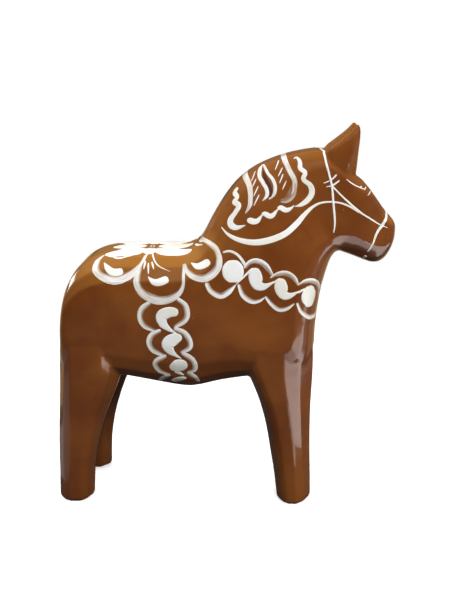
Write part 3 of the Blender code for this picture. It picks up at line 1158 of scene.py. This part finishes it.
@dataclass
class Studio:
    """A pale floor, soft light from large panels and the camera."""

    look_at: Mark = (3.53, 0.0, 102.66)
    distance: float = 470.0
    elevation: float = 15.5
    azimuth: float = 2.4
    roll: float = -0.35
    lens: float = 50.89
    sensor: float = 36.0
    floor_reach: float = 12000.0
    floor_drop: float = 0.05
    floor_shown: Colour = (0.80, 0.80, 0.80, 1.0)
    floor_bounced: Colour = (0.035, 0.032, 0.029, 1.0)
    floor_mirrored: Colour = (0.05, 0.05, 0.05, 1.0)
    floor_glow: float = 0.42
    near: float = 0.16
    far: float = 0.45
    sky_lean: Mark = (-0.15, 0.75, 0.60)
    sky_shown: float = 1.0
    sky_front: float = 0.03
    sky_back: float = 0.50
    mirrored_share: float = 0.35
    mirrored_tint: Colour = (1.0, 0.66, 0.36, 1.0)

    def camera(self) -> None:
        """Place the camera."""
        turn, rise = math.radians(self.azimuth), math.radians(self.elevation)
        back = Vector((
            math.sin(turn) * math.cos(rise), -math.cos(turn) * math.cos(rise), math.sin(rise)
        ))
        lens = bpy.data.cameras.new("camera")
        lens.lens = self.lens
        lens.sensor_width = self.sensor
        lens.clip_start = 0.01
        lens.clip_end = 50.0
        eye = bpy.data.objects.new("camera", lens)
        bpy.context.scene.collection.objects.link(eye)
        facing = (-back).to_track_quat("-Z", "Y").to_matrix().to_4x4()
        tilt = Matrix.Rotation(math.radians(self.roll), 4, "Z")
        place = Matrix.Translation(Vector(self.look_at) * MM + back * self.distance * MM)
        eye.matrix_world = place @ facing @ tilt
        bpy.context.scene.camera = eye

    def floor(self) -> None:
        """A wide pale floor that melts into the backdrop away from the horse."""
        deselect_all()
        bpy.ops.mesh.primitive_plane_add(
            size=self.floor_reach * MM, location=(0, 0, -self.floor_drop * MM)
        )
        floor = bpy.context.active_object
        floor.name = "studio_floor"
        desk = Palette(floor.name)
        ray = desk.add("LightPath")
        seen = ray.outputs["Is Camera Ray"]
        distance = desk.add("VectorMath", operation="LENGTH")
        desk.join(desk.object_place(), distance.inputs[0])
        away = desk.fit(distance.outputs["Value"], self.near, self.far)
        lit = desk.blend(away, self.floor_shown, BLACK)
        mirrored = ray.outputs["Is Glossy Ray"]
        unseen = desk.blend(mirrored, self.floor_bounced, self.floor_mirrored)
        glow = desk.sum("ADD", desk.sum("MULTIPLY", away, 1 - self.floor_glow), self.floor_glow)
        desk.finish(desk.blend(seen, unseen, lit), Roughness=0.9, Specular_IOR_Level=0.0,
                    Emission_Color=WHITE, Emission_Strength=desk.sum("MULTIPLY", glow, seen))
        floor.data.materials.append(desk.material)

    def sky(self) -> None:
        """A surround that is bright behind the horse and above it, and dim in front."""
        world = bpy.data.worlds.new("studio")
        bpy.context.scene.world = world
        world.use_nodes = True
        desk = Desk(world.node_tree)
        backdrop = desk.tree.nodes["Background"]
        lean = desk.add("VectorMath", operation="DOT_PRODUCT")
        desk.join(desk.add("TexCoord").outputs["Generated"], lean.inputs[0])
        desk.join(self.sky_lean, lean.inputs[1])
        cast = desk.fit(lean.outputs["Value"], -0.2, 0.75, self.sky_front, self.sky_back)
        rays = desk.add("LightPath").outputs
        tint = desk.blend(rays["Is Glossy Ray"], WHITE, self.mirrored_tint)
        desk.join(tint, backdrop.inputs["Color"])
        dimmed = desk.sum("MULTIPLY", cast, self.mirrored_share)
        for ray, other in (("Is Glossy Ray", dimmed), ("Is Camera Ray", self.sky_shown)):
            choice = desk.add("Mix")
            desk.join(rays[ray], choice.inputs["Factor"])
            desk.join(cast, choice.inputs["A"])
            desk.join(other, choice.inputs["B"])
            cast = choice.outputs["Result"]
        desk.join(cast, backdrop.inputs["Strength"])

    def panel(
        self, name: str, place: Mark, aim: Mark, size: tuple[float, float], radiance: float,
        gloss: bool, diffuse: bool, tint: Mark = (1.0, 1.0, 1.0),
    ) -> None:
        """A soft rectangular light.

        Args:
            name: what the light is.
            place: its middle.
            aim: the point it faces.
            size: its width and height.
            radiance: how bright its face is.
            gloss: whether it shows in reflections.
            diffuse: whether it lights the surfaces.
            tint: the colour of its light.
        """
        data = bpy.data.lights.new(name, "AREA")
        data.shape = "RECTANGLE"
        data.size, data.size_y = size[0] * MM, size[1] * MM
        data.energy = radiance * math.pi * data.size * data.size_y
        data.color = tint
        light = bpy.data.objects.new(name, data)
        bpy.context.scene.collection.objects.link(light)
        light.location = Vector(place) * MM
        away = (Vector(aim) - Vector(place)).normalized()
        light.rotation_euler = away.to_track_quat("-Z", "Y").to_euler()
        light.visible_camera = False
        light.visible_glossy = gloss
        light.visible_diffuse = diffuse

    def lights(self) -> None:
        """Light from above and from the front, and bright cards that draw the highlights."""
        horse = (0.0, 0.0, 110.0)
        for name, place, size, radiance in (
            ("ceiling", (-300.0, 350.0, 750.0), (900.0, 700.0), 4.2),
            ("front_window", (120.0, -650.0, 670.0), (800.0, 240.0), 12.8),
            ("side_window", (850.0, -200.0, 360.0), (600.0, 500.0), 4.6),
        ):
            self.panel(name, place, horse, size, radiance, False, True)
        self.panel(
            "back_window", (-514.0, 374.0, 224.0), (-76.0, -22.0, 122.0), (130.0, 120.0), 6.0,
            True, False,
        )
        white, amber = (1.0, 1.0, 1.0), (1.0, 0.62, 0.30)
        for name, middle, size, radiance, tint in (
            ("bright_sheet", (290.0, -135.0), (340.0, 200.0), 3.5, white),
            ("near_sheet", (90.0, -120.0), (60.0, 110.0), 2.2, white),
            ("left_sheet", (-220.0, -40.0), (220.0, 160.0), 0.3, white),
            ("back_sheet", (0.0, 770.0), (2800.0, 1400.0), 0.45, amber),
        ):
            self.panel(
                name, (*middle, 1.0), (*middle, 100.0), size, radiance, True, False, tint
            )

    def build(self) -> None:
        """Set up everything."""
        bpy.context.scene.view_settings.view_transform = "Standard"
        self.camera()
        self.floor()
        self.sky()
        self.lights()


def main() -> None:
    """Build the horse's looks in order, and report each piece."""
    logging.basicConfig(level=logging.INFO, format="%(name)s: %(message)s")
    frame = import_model()
    Studio().build()

    brown = BrownGloss().make()
    finishes = {
        "white_paint": WhiteBrushwork().make(),
        "brown_gloss_paint": BrownGloss(
            "maroon_glaze", deep=(0.060, 0.020, 0.012, 1.0), warm=(0.078, 0.027, 0.018, 1.0),
            # The glaze's painted top light is set to its own warm colour, so no top light is
            # painted on it.
            painted_top_light=(0.078, 0.027, 0.018, 1.0),
        ).make(),
    }
    beech = Beech().make()

    coat_maker = PaintedCoat()
    coat = coat_maker.build(frame["nodes"])
    coat_maker.dress(coat, brown)
    log.info("%s: %d faces", coat.name, len(coat.data.polygons))

    for name, node in frame["nodes"].items():
        if name.startswith("dowel_"):
            node.data.materials.clear()
            node.data.materials.append(beech)

    brush = Brush(coat)
    for figure in figures():
        for piece in figure.paint(brush, finishes):
            log.info("%s: %d faces", piece.name, len(piece.data.polygons))


if __name__ == "__main__":
    main()
